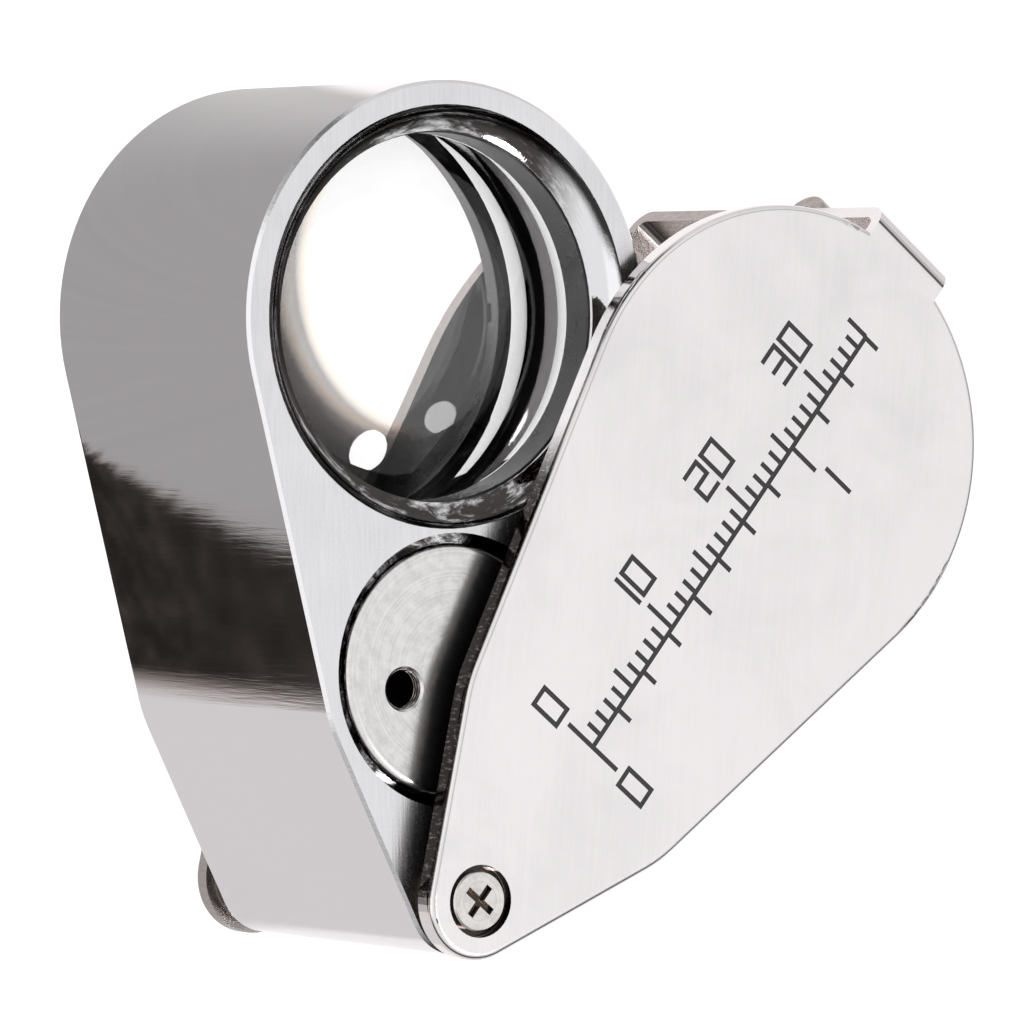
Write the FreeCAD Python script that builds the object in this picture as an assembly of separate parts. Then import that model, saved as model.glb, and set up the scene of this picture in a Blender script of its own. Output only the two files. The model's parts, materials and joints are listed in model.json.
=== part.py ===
# Folding pocket loupe with a lit lens housing that swings out of a U-shaped sheet-metal cover.
#
# Millimetres, +Z up. The loupe lies on the outer face of its rear cover plate (z = 0). The origin is
# on that face, on the axis that the lens has when the loupe is closed, and +Y runs from the pivot
# towards the strap. Every piece of the housing is modelled closed and then turned about the pivot.

import FreeCAD
import Part
import math
import os

# Glass and barrel.
glass_radius = 12.5
rim_ledge = 0.4            # how far the two rings reach in over the glass
lip_step = 0.1             # the mouth's inner edge, outside the rings' clear opening
mouth_step = 1.7           # radial, from the mouth's inner edge to its outer one
mouth_depth = 1.35
mouth_wall = 1.6           # mouth to flank
stop_ledge = 0.4           # under the mouth, in front of the stop ring
stack_front = 4.3          # eye face to the front rim of the glass
stack_rear = 3.6           # object face to the rear rim of the glass
outer_curve = 32.0         # radius of the two air surfaces
inner_curve = 20.0         # radius of the two inner surfaces
outer_lens_rim = 4.4       # rim thickness of the eye lens and of the object lens
lens_gap = 0.05            # between two neighbouring glasses
ring_seat_step = 0.65      # barrel to the seat of the retaining ring
ring_thickness = 1.8
ring_slot_width = 1.0
ring_slot_depth = 0.6

# Battery compartment.
cell_radius = 5.8
cell_height = 3.05
cell_count = 3
cell_front = 4.0           # eye face to the first cell
cell_rim = 0.8             # radial, the sealed step of the can
cell_rim_step = 0.25
cell_room = 0.15
sleeve_wall = 1.9
cap_flange = 0.45          # radial, outside the cap's thread
cap_groove = 0.7           # radial, between the cap and its seat's wall
cap_seat_depth = 1.4
cap_sink = 0.2
cap_edge_radius = 0.6
cap_skirt = 2.2
cap_turn = 15.3            # angle at which the cap comes tight, in degrees
spanner_hole_radius = 1.35
spanner_hole_reach = 4.0
spanner_hole_depth = 2.4
spanner_hole_chamfer = 0.15
spring_wire_radius = 0.22
spring_radius = 3.0
spring_turns = 2.5
contact_radius = 4.2
contact_sheet = 0.3
contact_pin_radius = 0.4
contact_pin_reach = 2.0
contact_hole_radius = 0.7
floor_thickness = 1.0

# Housing outline: three circles on one line, joined by straight flanks.
housing_depth = 24.4       # eye face to object face
waist_reach = 15.0         # pivot axis to battery axis
waist_wall = 1.1           # cap seat to flank
web = 0.25                 # cap seat to mouth
tail_radius = 3.7
front_edge_chamfer = 0.22
rear_edge_radius = 0.5
open_angle = 40.5          # how far the stored pose stands open, in degrees

# Cover: one bent sheet with two dished plates and a strap. Its outline laps the housing's.
sheet = 0.9
head_lap = 0.7
waist_lap = 0.35
waist_shift = 0.6          # the cover's waist lies this much nearer the pivot
tail_lap = 0.2
pan_depth = 1.5            # plate face to the edge of its turned-in rim
rim_gap = 1.1              # rim to housing face
edge_radius = 0.5          # round of the plate's outer edge
strap_width = 7.0
strap_step = 1.8           # plate edge to the strap's outer face
bend_radius = 1.6          # outer radius of the strap's bends

# Rule etched in the front plate, along the cover: millimetres on one side, eighths of an inch on the other.
rule_start = -25.0         # along the cover, from the lens axis
rule_across = 0.6          # the rule's spine, from the cover's centre line
rule_length = 35.0
inch = 25.4
tick_width = 0.34
tick_steps = (1.3, 1.9, 2.5)  # short, middle and long ticks
digit_size = (1.35, 2.3)   # width and height
digit_pitch = 1.95
digit_gap = 0.7            # long tick to digits
etch_depth = 0.05

# Lanyard eye, riveted to the middle of the strap.
eye_width = 4.4
eye_thickness = 1.6
eye_height = 3.6           # above the strap's outer face
eye_hole_radius = 1.1
eye_edge_radius = 0.3
rivet_radius = 0.8
rivet_head_radius = 1.4
rivet_head = 0.4

# Pivot.
post_radius = 1.7
washer_width = 1.2         # radial
washer = 0.45
spring_washer = 0.3        # strip of the conical washer
spring_washer_cone = 0.12  # how far it is coned
screw_radius = 1.0
screw_head_radius = 2.0
screw_head = 0.62
screw_length = 5.0
dimple_room = 0.4          # round the screw head
dimple_depth = 0.7
dimple_wall = 0.8
cross_length = 2.4
cross_width = 0.5
cross_depth = 0.4

# Lamp bay behind the compartment's floor, open to the object face.
bay_depth = 7.8
bay_wall = 1.3
bay_end_room = 2.4         # past the lamps
panel_ledge = 0.5
panel = 1.0
lens_wall = 1.4            # between the lens ring's seat and the bay
pivot_wall = 2.5           # round the pivot's bore
board = 0.8
board_height = 4.4         # object face to the board's upper face
boss_radius = 1.8
boss_lap = 0.3             # into the wall behind it
panel_screw_radius = 0.7
panel_screw_head_radius = 1.3
panel_screw_head = 0.5
panel_screw_length = 4.0
slot_width = 0.4
slot_depth = 0.25
led_radius = 1.5
led_flange_radius = 1.9
led_flange = 0.8
led_room = 0.4             # lamp flange to the lens wall
led_side_room = 0.24       # lamp flange to the flank's inner face
resistor_size = (1.2, 2.4, 0.6)
resistor_across = 4.2
resistor_reach = 11.5

# Slide switch on the flank, in a frame whose X axis stands square to the flank.
switch_body_size = (3.6, 7.0, 3.0)
switch_room = 0.65         # lamp flange to the switch's body
switch_travel = 1.5        # each way
knob_length = 3.6
knob_width = 2.8
knob_height = 1.0
knob_ribs = 4
knob_rib_depth = 0.3
stem_length = 1.4
stem_width = 1.2
stem_sink = 2.4            # into the housing, from the flank

# Bars that each digit of the rule is made of.
digit_shapes = {"0": ("top", "foot", "upper_left", "lower_left", "upper_right", "lower_right"),
                "1": ("upper_right", "lower_right"),
                "2": ("top", "upper_right", "middle", "lower_left", "foot"),
                "3": ("top", "upper_right", "middle", "lower_right", "foot")}

# Clearances.
running = 0.05             # radial, between pieces that turn or slide
slip = 0.05                # radial, between pieces that are put together by hand
lay = 0.05                 # between flat faces that slide on each other
panel_gap = 0.1
over = 1.0                 # how far a cutting tool runs past the face that it opens

# Radii that follow from the glass, outwards.
barrel_radius = glass_radius + slip
clear_radius = glass_radius - rim_ledge
lip_radius = clear_radius + lip_step
mouth_radius = lip_radius + mouth_step
head_radius = mouth_radius + mouth_wall
ring_seat_radius = barrel_radius + ring_seat_step
lens_clear = ring_seat_radius + lens_wall
cover_head_radius = head_radius + head_lap
strap_reach = cover_head_radius + strap_step

# Radii that follow from the cells, outwards.
sleeve_inner_radius = cell_radius + cell_room
cap_bore_radius = sleeve_inner_radius + sleeve_wall + slip
cap_radius = cap_bore_radius + cap_flange
cap_seat_radius = cap_radius + cap_groove
waist_radius = cap_seat_radius + waist_wall
cover_waist_radius = waist_radius + waist_lap

# Radii round the pivot.
bore_radius = post_radius + running
washer_radius = post_radius + washer_width
pivot_clear = post_radius + pivot_wall
dimple_radius = screw_head_radius + dimple_room
cover_tail_radius = tail_radius + tail_lap

# Places along the housing, from the lens axis, and levels from the plate that the loupe lies on.
waist_y = -(mouth_radius + web + cap_seat_radius)
pivot_y = waist_y - waist_reach
cover_waist_y = waist_y - waist_shift
flank_tilt = math.degrees(math.asin((head_radius - waist_radius) / waist_y))
led_reach = lens_clear + led_room + led_flange_radius
boss_places = (-lens_clear - boss_radius + boss_lap, pivot_y + pivot_clear + boss_radius - boss_lap)
housing_rear = pan_depth + rim_gap
housing_front = housing_rear + housing_depth
cover_height = housing_front + rim_gap + pan_depth
middle = cover_height / 2
glass_front = housing_front - stack_front
glass_rear = housing_rear + stack_rear
bay_top = housing_rear + bay_depth
floor_top = bay_top + floor_thickness
board_top = housing_rear + board_height
switch_level = board_top + switch_body_size[2] / 2


def level(depth):
    """Height of a point that lies the given depth behind the eye face."""
    return housing_front - depth


def vec(x, y, z=0.0):
    return FreeCAD.Vector(x, y, z)


def cylinder(radius, low, high, x=0.0, y=0.0):
    return Part.makeCylinder(radius, high - low, vec(x, y, low))


def ring(outer, inner, low, high, x=0.0, y=0.0):
    return cylinder(outer, low, high, x, y).cut(cylinder(inner, low - over, high + over, x, y))


def block(x_range, y_range, z_range):
    size = [high - low for low, high in (x_range, y_range, z_range)]
    return Part.makeBox(*size, vec(x_range[0], y_range[0], z_range[0]))


def span(centre, size):
    return (centre - size / 2, centre + size / 2)


def tangent_angle(upper, lower):
    """Angle of the outward normal of the straight side that joins two circles (y, radius)."""
    return math.asin((lower[1] - upper[1]) / (upper[0] - lower[0]))


def on_circle(circle, angle, z):
    y, radius = circle
    return vec(radius * math.cos(angle), y + radius * math.sin(angle), z)


def arc(circle, start, end, z):
    points = [on_circle(circle, angle, z) for angle in (start, (start + end) / 2, end)]
    return Part.Arc(*points).toShape()


def teardrop(head, waist, tail, low, high):
    """Prism over the outline that wraps three circles, each given as (y, radius)."""
    upper = tangent_angle(head, waist)
    lower = tangent_angle(waist, tail)
    arcs = [arc(head, upper, math.pi - upper, low),
            arc(waist, math.pi - upper, math.pi - lower, low),
            arc(tail, math.pi - lower, 2 * math.pi + lower, low),
            arc(waist, lower, upper, low)]
    edges = []
    for first, second in zip(arcs, arcs[1:] + arcs[:1]):
        edges.append(first)
        edges.append(Part.makeLine(first.Vertexes[-1].Point, second.Vertexes[0].Point))
    return Part.Face(Part.Wire(edges)).extrude(vec(0, 0, high - low))


def housing_prism(inset, low, high):
    return teardrop((0, head_radius - inset), (waist_y, waist_radius - inset),
                    (pivot_y, tail_radius - inset), low, high)


def cover_prism(inset, low, high):
    waist = (cover_waist_y, cover_waist_radius - inset)
    return teardrop((0, cover_head_radius - inset), waist, (pivot_y, cover_tail_radius - inset), low, high)


def flat_edges(shape, z):
    return [edge for edge in shape.Edges if abs(edge.BoundBox.ZMin - z) + abs(edge.BoundBox.ZMax - z) < slip]


def swung(shape):
    """Turns a piece of the housing from its closed place to the stored pose."""
    turned = shape.copy()
    turned.rotate(vec(0, pivot_y, 0), vec(0, 0, 1), open_angle)
    return turned


def led_place(side):
    """Where a lamp stands: its flange keeps its room from the lens wall and from the flank."""
    flank = tangent_angle((0, head_radius), (waist_y, waist_radius))
    from_flank = head_radius - bay_wall - led_side_room - led_flange_radius
    angle = math.asin(from_flank / led_reach) + flank
    return side * led_reach * math.sin(angle), -led_reach * math.cos(angle)


def to_flank(shape):
    """Turns a piece modelled square to X so that it stands square to the housing's flank."""
    turned = shape.copy()
    turned.rotate(vec(0, 0, 0), vec(0, 0, 1), flank_tilt)
    return turned


def flipped(shape):
    """The same piece on the other cover plate."""
    return shape.mirror(vec(0, 0, middle), vec(0, 0, 1))


def revolved(points, x=0.0, y=0.0):
    """Solid of revolution about the upright line through (x, y), from (radius, z) points."""
    corners = [vec(x + radius, y, z) for radius, z in points]
    face = Part.Face(Part.makePolygon(corners + corners[:1]))
    return face.revolve(vec(x, y, 0), vec(0, 0, 1), 360)


# Cover ---------------------------------------------------------------------------------------------

def cover_plate():
    """The rear plate: a shallow dish that opens upwards, with a dimple for the screw head."""
    plate = cover_prism(0, 0, pan_depth)
    plate = plate.makeFillet(edge_radius, flat_edges(plate, 0))
    plate = plate.cut(cover_prism(sheet, sheet, pan_depth + over))
    plate = plate.cut(block(span(0, strap_width), (0, strap_reach), (sheet, pan_depth + over)))
    boss = cylinder(dimple_radius + dimple_wall, sheet / 2, sheet + dimple_depth, 0, pivot_y)
    plate = plate.fuse(boss)
    plate = plate.cut(cylinder(dimple_radius, -over, dimple_depth, 0, pivot_y))
    return plate.cut(cylinder(screw_radius + running, -over, pan_depth + over, 0, pivot_y))


def strap():
    """The U that joins the plates, from under one plate's edge round to the other's."""
    root = (cover_head_radius ** 2 - strap_width ** 2 / 4) ** 0.5 - sheet - edge_radius
    outer = block(span(0, strap_width), (root, strap_reach), (0, cover_height))
    corners = [edge for edge in outer.Edges if edge.BoundBox.YMin > strap_reach - slip
               and edge.BoundBox.ZLength < slip]
    outer = outer.makeFillet(bend_radius, corners)
    inner = block(span(0, strap_width + over), (root - over, strap_reach - sheet),
                  (sheet, cover_height - sheet))
    corners = [edge for edge in inner.Edges if edge.BoundBox.YMin > strap_reach - sheet - slip
               and edge.BoundBox.ZLength < slip]
    inner = inner.makeFillet(bend_radius - sheet, corners)
    return outer.cut(inner)


def etched(x_range, y_range):
    """Cutting tool for one bar of the rule, in the front plate's face."""
    return block(sorted(x_range), y_range, (cover_height - etch_depth, cover_height + over))


def rule_ticks(side, pitch, ranks):
    """Ticks on one side of the spine. ranks gives, from long to short, every how many steps one stands."""
    tools = []
    for step in range(int(rule_length / pitch) + 1):
        rank = next(place for place, every in enumerate(ranks) if step % every == 0)
        length = tick_steps[len(ranks) - 1 - rank]
        y_range = span(rule_start + step * pitch, tick_width)
        tools.append(etched((rule_across, rule_across + side * length), y_range))
    return tools


def digit_bars(digit, low, start):
    """A digit of seven bars that reads along +Y: start is its left edge, low the x of its foot."""
    width, height = digit_size
    half = tick_width / 2
    places = {"top": ((0, width), (height, height)), "middle": ((0, width), (height / 2, height / 2)),
              "foot": ((0, width), (0, 0)), "upper_left": ((0, 0), (height / 2, height)),
              "lower_left": ((0, 0), (0, height / 2)), "upper_right": ((width, width), (height / 2, height)),
              "lower_right": ((width, width), (0, height / 2))}
    tools = []
    for bar in digit_shapes[digit]:
        (left, right), (bottom, top) = places[bar]
        x_range = (low - top - half, low - bottom + half)
        tools.append(etched(x_range, (start + left - half, start + right + half)))
    return tools


def rule_number(text, low, middle_y):
    start = middle_y - (len(text) * digit_pitch - (digit_pitch - digit_size[0])) / 2
    tools = []
    for place, digit in enumerate(text):
        tools += digit_bars(digit, low, start + place * digit_pitch)
    return tools


def rule_tools():
    tools = rule_ticks(-1, 1.0, (10, 5, 1)) + rule_ticks(1, inch / 8, (8, 4, 1))
    tools.append(etched(span(rule_across, tick_width), (rule_start, rule_start + rule_length)))
    left_foot = rule_across - tick_steps[-1] - digit_gap
    right_foot = rule_across + tick_steps[-1] + digit_gap + digit_size[1]
    for tens in range(int(rule_length / 10) + 1):
        tools += rule_number(str(10 * tens), left_foot, rule_start + 10 * tens)
    for inches in range(int(rule_length / inch) + 1):
        tools += rule_number(str(inches), right_foot, rule_start + inch * inches)
    return tools


def cover_shell():
    plate = cover_plate()
    front = flipped(plate).cut(rule_tools())
    shell = plate.fuse(front).fuse(strap())
    rivet = Part.makeCylinder(rivet_radius, sheet + 2 * over, vec(0, strap_reach - sheet - over, middle),
                              vec(0, 1, 0))
    return shell.cut(rivet).removeSplitter()


def lanyard_eye():
    top = strap_reach + eye_height - eye_width / 2
    along_x = vec(1, 0, 0)
    along_y = vec(0, 1, 0)
    crown = Part.makeCylinder(eye_width / 2, eye_thickness, vec(-eye_thickness / 2, top, middle), along_x)
    lug = crown.fuse(block(span(0, eye_thickness), (strap_reach, top), span(middle, eye_width)))
    below = block(span(0, eye_width), (strap_reach - eye_height, strap_reach), span(middle, 2 * eye_width))
    lug = lug.cut(below).removeSplitter()
    rims = [edge for edge in lug.Edges if edge.BoundBox.XLength < slip
            and edge.BoundBox.YMax > strap_reach + slip]
    lug = lug.makeFillet(eye_edge_radius, rims)
    hole = Part.makeCylinder(eye_hole_radius, eye_width, vec(-eye_width / 2, top, middle), along_x)
    inside = strap_reach - sheet
    shank = Part.makeCylinder(rivet_radius, sheet + eye_edge_radius, vec(0, inside, middle), along_y)
    head = Part.makeCylinder(rivet_head_radius, rivet_head, vec(0, inside - rivet_head, middle), along_y)
    return lug.cut(hole).fuse(shank).fuse(head)


# Pivot ---------------------------------------------------------------------------------------------

def pivot_post():
    """Threaded sleeve that the housing turns on, clamped between the two dimples."""
    seat = sheet + dimple_depth
    return ring(post_radius, screw_radius, seat, cover_height - seat, 0, pivot_y)


def rear_pivot_screw():
    low = dimple_depth - screw_head
    head = cylinder(screw_head_radius, low, dimple_depth, 0, pivot_y)
    head = head.makeChamfer(screw_head / 6, flat_edges(head, low))
    for size in ((cross_length, cross_width), (cross_width, cross_length)):
        head = head.cut(block(span(0, size[0]), span(pivot_y, size[1]), (low - over, low + cross_depth)))
    shank = cylinder(screw_radius, dimple_depth, dimple_depth + screw_length, 0, pivot_y)
    return head.fuse(shank)


def rear_washer():
    seat = sheet + dimple_depth
    return ring(washer_radius, bore_radius, seat, seat + washer, 0, pivot_y)


def rear_spring_washer():
    """Conical washer that keeps the hinge stiff."""
    top = housing_rear - lay
    return revolved([(bore_radius, top - spring_washer), (bore_radius, top),
                     (washer_radius, top - spring_washer_cone),
                     (washer_radius, top - spring_washer - spring_washer_cone)], 0, pivot_y)


# Housing -------------------------------------------------------------------------------------------

def mouth_tool():
    """The rounded funnel that leads into the barrel from the eye face."""
    top = level(0)
    low = level(mouth_depth)
    drop = mouth_radius - lip_radius
    bulge = 0.5 ** 0.5
    middle_point = vec(mouth_radius - drop * (1 - bulge) * 1.3, 0, top - mouth_depth * bulge * 0.86)
    edges = [Part.makeLine(vec(0, 0, top), vec(mouth_radius, 0, top)),
             Part.Arc(vec(mouth_radius, 0, top), middle_point, vec(lip_radius, 0, low)).toShape(),
             Part.makeLine(vec(lip_radius, 0, low), vec(0, 0, low)),
             Part.makeLine(vec(0, 0, low), vec(0, 0, top))]
    return Part.Face(Part.Wire(edges)).revolve(vec(0, 0, 0), vec(0, 0, 1), 360)


def barrel_tools():
    """Everything that is bored out round the lens axis."""
    return [mouth_tool(),
            cylinder(lip_radius, level(mouth_depth) - over, level(mouth_depth) + slip),
            cylinder(barrel_radius, glass_rear - over, level(mouth_depth + stop_ledge)),
            cylinder(ring_seat_radius, housing_rear - over, glass_rear)]


def bay_prism(shrink, low, high):
    """Prism of the lamp bay: the outline drawn in, less the lens barrel and the pivot's wall."""
    prism = housing_prism(bay_wall + shrink, low, high)
    prism = prism.cut(cylinder(lens_clear + shrink, low - over, high + over))
    prism = prism.cut(cylinder(pivot_clear + shrink, low - over, high + over, 0, pivot_y))
    end = led_place(1)[1] + led_flange_radius + bay_end_room - shrink
    prism = prism.cut(block(span(0, 4 * head_radius), (end, 2 * head_radius), (low - over, high + over)))
    return max(prism.Solids, key=lambda solid: solid.Volume)


def bosses(radius, low, high):
    made = [cylinder(radius, low, high, 0, y) for y in boss_places]
    return made[0].fuse(made[1:])


def lamp_bay():
    panel_top = housing_rear + panel
    bay = bay_prism(0, housing_rear, bay_top)
    bay = bay.cut(bosses(boss_radius, panel_top, bay_top + over))
    return bay.fuse(bay_prism(-panel_ledge, housing_rear - over, panel_top))


def compartment_tools():
    seat = level(cap_seat_depth)
    tools = [cylinder(cap_seat_radius, seat, level(0) + over, 0, waist_y),
             cylinder(cap_bore_radius, floor_top, seat + over, 0, waist_y)]
    for side in (-1, 1):
        x = side * contact_pin_reach
        tools.append(cylinder(contact_hole_radius, bay_top - over, floor_top + over, x, waist_y))
    return tools


def switch_slot():
    """Window in the flank for the switch's stem."""
    length = stem_length + 2 * (switch_travel + running)
    window = block((head_radius - bay_wall - over, head_radius + over), span(switch_along(), length),
                   span(switch_level, stem_width + 2 * running))
    return to_flank(window)


def lens_housing():
    body = housing_prism(0, housing_rear, housing_front)
    body = body.makeChamfer(front_edge_chamfer, flat_edges(body, housing_front))
    body = body.makeFillet(rear_edge_radius, flat_edges(body, housing_rear))
    tools = barrel_tools() + compartment_tools() + [lamp_bay(), switch_slot()]
    tools.append(cylinder(bore_radius, housing_rear - over, housing_front + over, 0, pivot_y))
    body = body.cut(tools)
    top = housing_rear + panel + panel_screw_length
    return body.cut(bosses(panel_screw_radius, housing_rear, top))


# Optics --------------------------------------------------------------------------------------------

def sag(curve, radius):
    return curve - (curve ** 2 - radius ** 2) ** 0.5


def dome(curve, radius, rim_level, facing):
    """Ball whose surface crosses the given radius at the given level and bulges up or down."""
    centre = rim_level + facing * (sag(curve, radius) - curve)
    return Part.makeSphere(curve, vec(0, 0, centre))


def eye_lens():
    """Meniscus with a flat rim. Both of its faces bulge towards the eye."""
    rim = glass_front
    joint = glass_front - outer_lens_rim
    face_radius = clear_radius - slip
    face = cylinder(face_radius, joint, rim + sag(outer_curve, face_radius))
    face = face.common(dome(outer_curve, face_radius, rim, 1))
    blank = cylinder(glass_radius, joint, rim).fuse(face)
    return blank.cut(dome(inner_curve, glass_radius, joint, 1)).removeSplitter()


def centre_lens():
    top = glass_front - outer_lens_rim - lens_gap
    low = glass_rear + outer_lens_rim + lens_gap
    bulge = sag(inner_curve, glass_radius)
    blank = cylinder(glass_radius, low - bulge, top + bulge)
    upper = dome(inner_curve, glass_radius, top, 1)
    lower = dome(inner_curve, glass_radius, low, -1)
    return blank.common(upper).common(lower)


def object_lens():
    return eye_lens().mirror(vec(0, 0, (glass_front + glass_rear) / 2), vec(0, 0, 1))


def eye_stop_ring():
    return ring(glass_radius, clear_radius, glass_front, level(mouth_depth + stop_ledge))


def lens_retaining_ring():
    low = glass_rear - ring_thickness
    body = ring(ring_seat_radius - slip, clear_radius, low, glass_rear)
    slot = block(span(0, 2 * mouth_radius), span(0, ring_slot_width), (low - over, low + ring_slot_depth))
    return body.cut(slot)


# Battery -------------------------------------------------------------------------------------------

def battery_cap():
    top = level(cap_sink)
    seat = level(cap_seat_depth)
    flange = cylinder(cap_radius, seat, top, 0, waist_y)
    flange = flange.makeFillet(cap_edge_radius, flat_edges(flange, top))
    cap = flange.fuse(cylinder(cap_bore_radius - slip, seat - cap_skirt, seat, 0, waist_y))
    for side in (-1, 1):
        turn = math.radians(cap_turn)
        x = side * spanner_hole_reach * math.cos(turn)
        y = waist_y + side * spanner_hole_reach * math.sin(turn)
        cap = cap.cut(cylinder(spanner_hole_radius, top - spanner_hole_depth, top + over, x, y))
        rim = Part.makeCone(spanner_hole_radius, spanner_hole_radius + spanner_hole_chamfer,
                            spanner_hole_chamfer, vec(x, y, top - spanner_hole_chamfer))
        cap = cap.cut(rim)
    return cap


def stack_base():
    """Level of the rear face of the last cell."""
    return level(cell_front + cell_count * cell_height)


def battery_sleeve():
    outer = cap_bore_radius - slip
    return ring(outer, sleeve_inner_radius, stack_base(), level(cell_front), 0, waist_y)


def button_cell(place):
    """One cell: its positive can faces the cap, with the sealed step on the other side."""
    top = level(cell_front + place * cell_height)
    low = top - cell_height
    can = cylinder(cell_radius, low + cell_rim_step, top, 0, waist_y)
    return can.fuse(cylinder(cell_radius - cell_rim, low, low + cell_rim_step, 0, waist_y))


def battery_spring():
    base = floor_top + contact_sheet + spring_wire_radius
    height = stack_base() - spring_wire_radius - base
    path = Part.makeHelix(height / spring_turns, height, spring_radius)
    start = path.Vertexes[0].Point
    wire = Part.Wire(Part.Circle(start, vec(0, 1, 0), spring_wire_radius).toShape())
    coil = Part.Wire(path).makePipeShell([wire], True, True)
    coil.translate(vec(0, waist_y, base))
    return coil


def contact_plate():
    plate = cylinder(contact_radius, floor_top, floor_top + contact_sheet, 0, waist_y)
    for side in (-1, 1):
        x = side * contact_pin_reach
        plate = plate.fuse(cylinder(contact_pin_radius, board_top, floor_top, x, waist_y))
    return plate


# Lamp bay ------------------------------------------------------------------------------------------

def led_board():
    low = board_top - board
    plate = bay_prism(panel_gap, low, board_top)
    return plate.cut(bosses(boss_radius + panel_gap, low - over, board_top + over))


def led(side):
    x, y = led_place(side)
    top = board_top - board
    crown = housing_rear + led_radius
    lamp = cylinder(led_flange_radius, top - led_flange, top, x, y)
    lamp = lamp.fuse(cylinder(led_radius, crown, top, x, y))
    return lamp.fuse(Part.makeSphere(led_radius, vec(x, y, crown)))


def resistors():
    width, length, height = resistor_size
    chips = [block(span(side * resistor_across, width), span(pivot_y + resistor_reach, length),
                   (board_top, board_top + height)) for side in (-1, 1)]
    return Part.makeCompound(chips)


def rear_panel():
    low = housing_rear
    high = housing_rear + panel
    plate = bay_prism(panel_gap - panel_ledge, low, high)
    for side in (-1, 1):
        x, y = led_place(side)
        plate = plate.cut(cylinder(led_radius + panel_gap, low - over, high + over, x, y))
    plate = plate.cut(bosses(panel_screw_head_radius + panel_gap, low - over, low + panel_screw_head))
    return plate.cut(bosses(panel_screw_radius + panel_gap, low, high + over))


def panel_screws():
    low = housing_rear
    made = []
    for y in boss_places:
        screw = cylinder(panel_screw_head_radius, low + slip, low + panel_screw_head, 0, y)
        screw = screw.fuse(cylinder(panel_screw_radius, low + slip, low + panel_screw_length, 0, y))
        slot_length = 2 * panel_screw_head_radius + over
        slot = block(span(0, slot_length), span(y, slot_width), (low, low + slot_depth))
        made.append(screw.cut(slot))
    return Part.makeCompound(made)


# Switch --------------------------------------------------------------------------------------------

def switch_along():
    """Middle of the switch's travel, along the flank from the lens axis, just past the lamp."""
    tilt = math.radians(flank_tilt)
    x, y = led_place(1)
    lamp = y * math.cos(tilt) - x * math.sin(tilt)
    return lamp - led_flange_radius - switch_room - switch_body_size[1] / 2


def switch_body():
    depth, length, height = switch_body_size
    inner_wall = head_radius - bay_wall - panel_gap
    body = block((inner_wall - depth, inner_wall), span(switch_along(), length),
                 (board_top, board_top + height))
    pocket = block((head_radius - stem_sink - running, head_radius),
                   span(switch_along(), stem_length + 2 * (switch_travel + running)),
                   span(switch_level, stem_width + 2 * running))
    return to_flank(body.cut(pocket))


def switch_knob():
    foot = head_radius + lay
    top = foot + knob_height
    knob = block((foot, top), span(switch_along(), knob_length), span(switch_level, knob_width))
    pitch = knob_length / (knob_ribs + 1)
    start = switch_along() - knob_length / 2
    for step in range(1, knob_ribs + 1):
        groove = span(start + step * pitch, pitch / 3)
        knob = knob.cut(block((top - knob_rib_depth, top + over), groove,
                              span(switch_level, knob_width + over)))
    stem = block((head_radius - stem_sink, foot), span(switch_along(), stem_length),
                 span(switch_level, stem_width))
    return to_flank(knob.fuse(stem))


cover_pieces = {
    "cover_shell": cover_shell(),
    "lanyard_eye": lanyard_eye(),
    "pivot_post": pivot_post(),
    "rear_pivot_screw": rear_pivot_screw(),
    "front_pivot_screw": flipped(rear_pivot_screw()),
    "rear_washer": rear_washer(),
    "front_washer": flipped(rear_washer()),
    "rear_spring_washer": rear_spring_washer(),
    "front_spring_washer": flipped(rear_spring_washer()),
}

housing_pieces = {
    "lens_housing": lens_housing(),
    "eye_stop_ring": eye_stop_ring(),
    "eye_lens": eye_lens(),
    "centre_lens": centre_lens(),
    "object_lens": object_lens(),
    "lens_retaining_ring": lens_retaining_ring(),
    "battery_cap": battery_cap(),
    "battery_sleeve": battery_sleeve(),
    "battery_spring": battery_spring(),
    "contact_plate": contact_plate(),
    "led_board": led_board(),
    "white_led": led(-1),
    "ultraviolet_led": led(1),
    "resistors": resistors(),
    "rear_panel": rear_panel(),
    "panel_screws": panel_screws(),
    "switch_body": switch_body(),
    "switch_knob": switch_knob(),
}
for place in range(cell_count):
    housing_pieces[f"button_cell_{place + 1}"] = button_cell(place)

os.makedirs("parts", exist_ok=True)
for name, shape in cover_pieces.items():
    shape.exportStep(f"parts/{name}.step")
for name, shape in housing_pieces.items():
    swung(shape).exportStep(f"parts/{name}.step")
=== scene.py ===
import json
import math

import bpy
import numpy as np
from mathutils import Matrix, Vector


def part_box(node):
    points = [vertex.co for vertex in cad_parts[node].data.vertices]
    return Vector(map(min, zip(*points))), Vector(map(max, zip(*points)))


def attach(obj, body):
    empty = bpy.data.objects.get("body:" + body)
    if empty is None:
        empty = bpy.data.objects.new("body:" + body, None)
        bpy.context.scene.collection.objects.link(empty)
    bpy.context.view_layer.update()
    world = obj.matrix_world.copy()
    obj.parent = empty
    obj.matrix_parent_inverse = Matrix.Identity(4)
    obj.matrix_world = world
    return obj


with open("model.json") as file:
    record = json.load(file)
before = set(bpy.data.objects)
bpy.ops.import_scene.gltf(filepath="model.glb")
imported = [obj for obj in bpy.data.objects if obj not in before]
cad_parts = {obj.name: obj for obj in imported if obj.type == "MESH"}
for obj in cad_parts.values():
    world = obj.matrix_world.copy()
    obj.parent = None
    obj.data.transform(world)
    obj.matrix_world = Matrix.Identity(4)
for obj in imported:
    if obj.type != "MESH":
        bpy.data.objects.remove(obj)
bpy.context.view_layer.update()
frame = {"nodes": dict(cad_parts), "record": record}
print("frame loaded", len(frame["nodes"]), "nodes")


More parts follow.
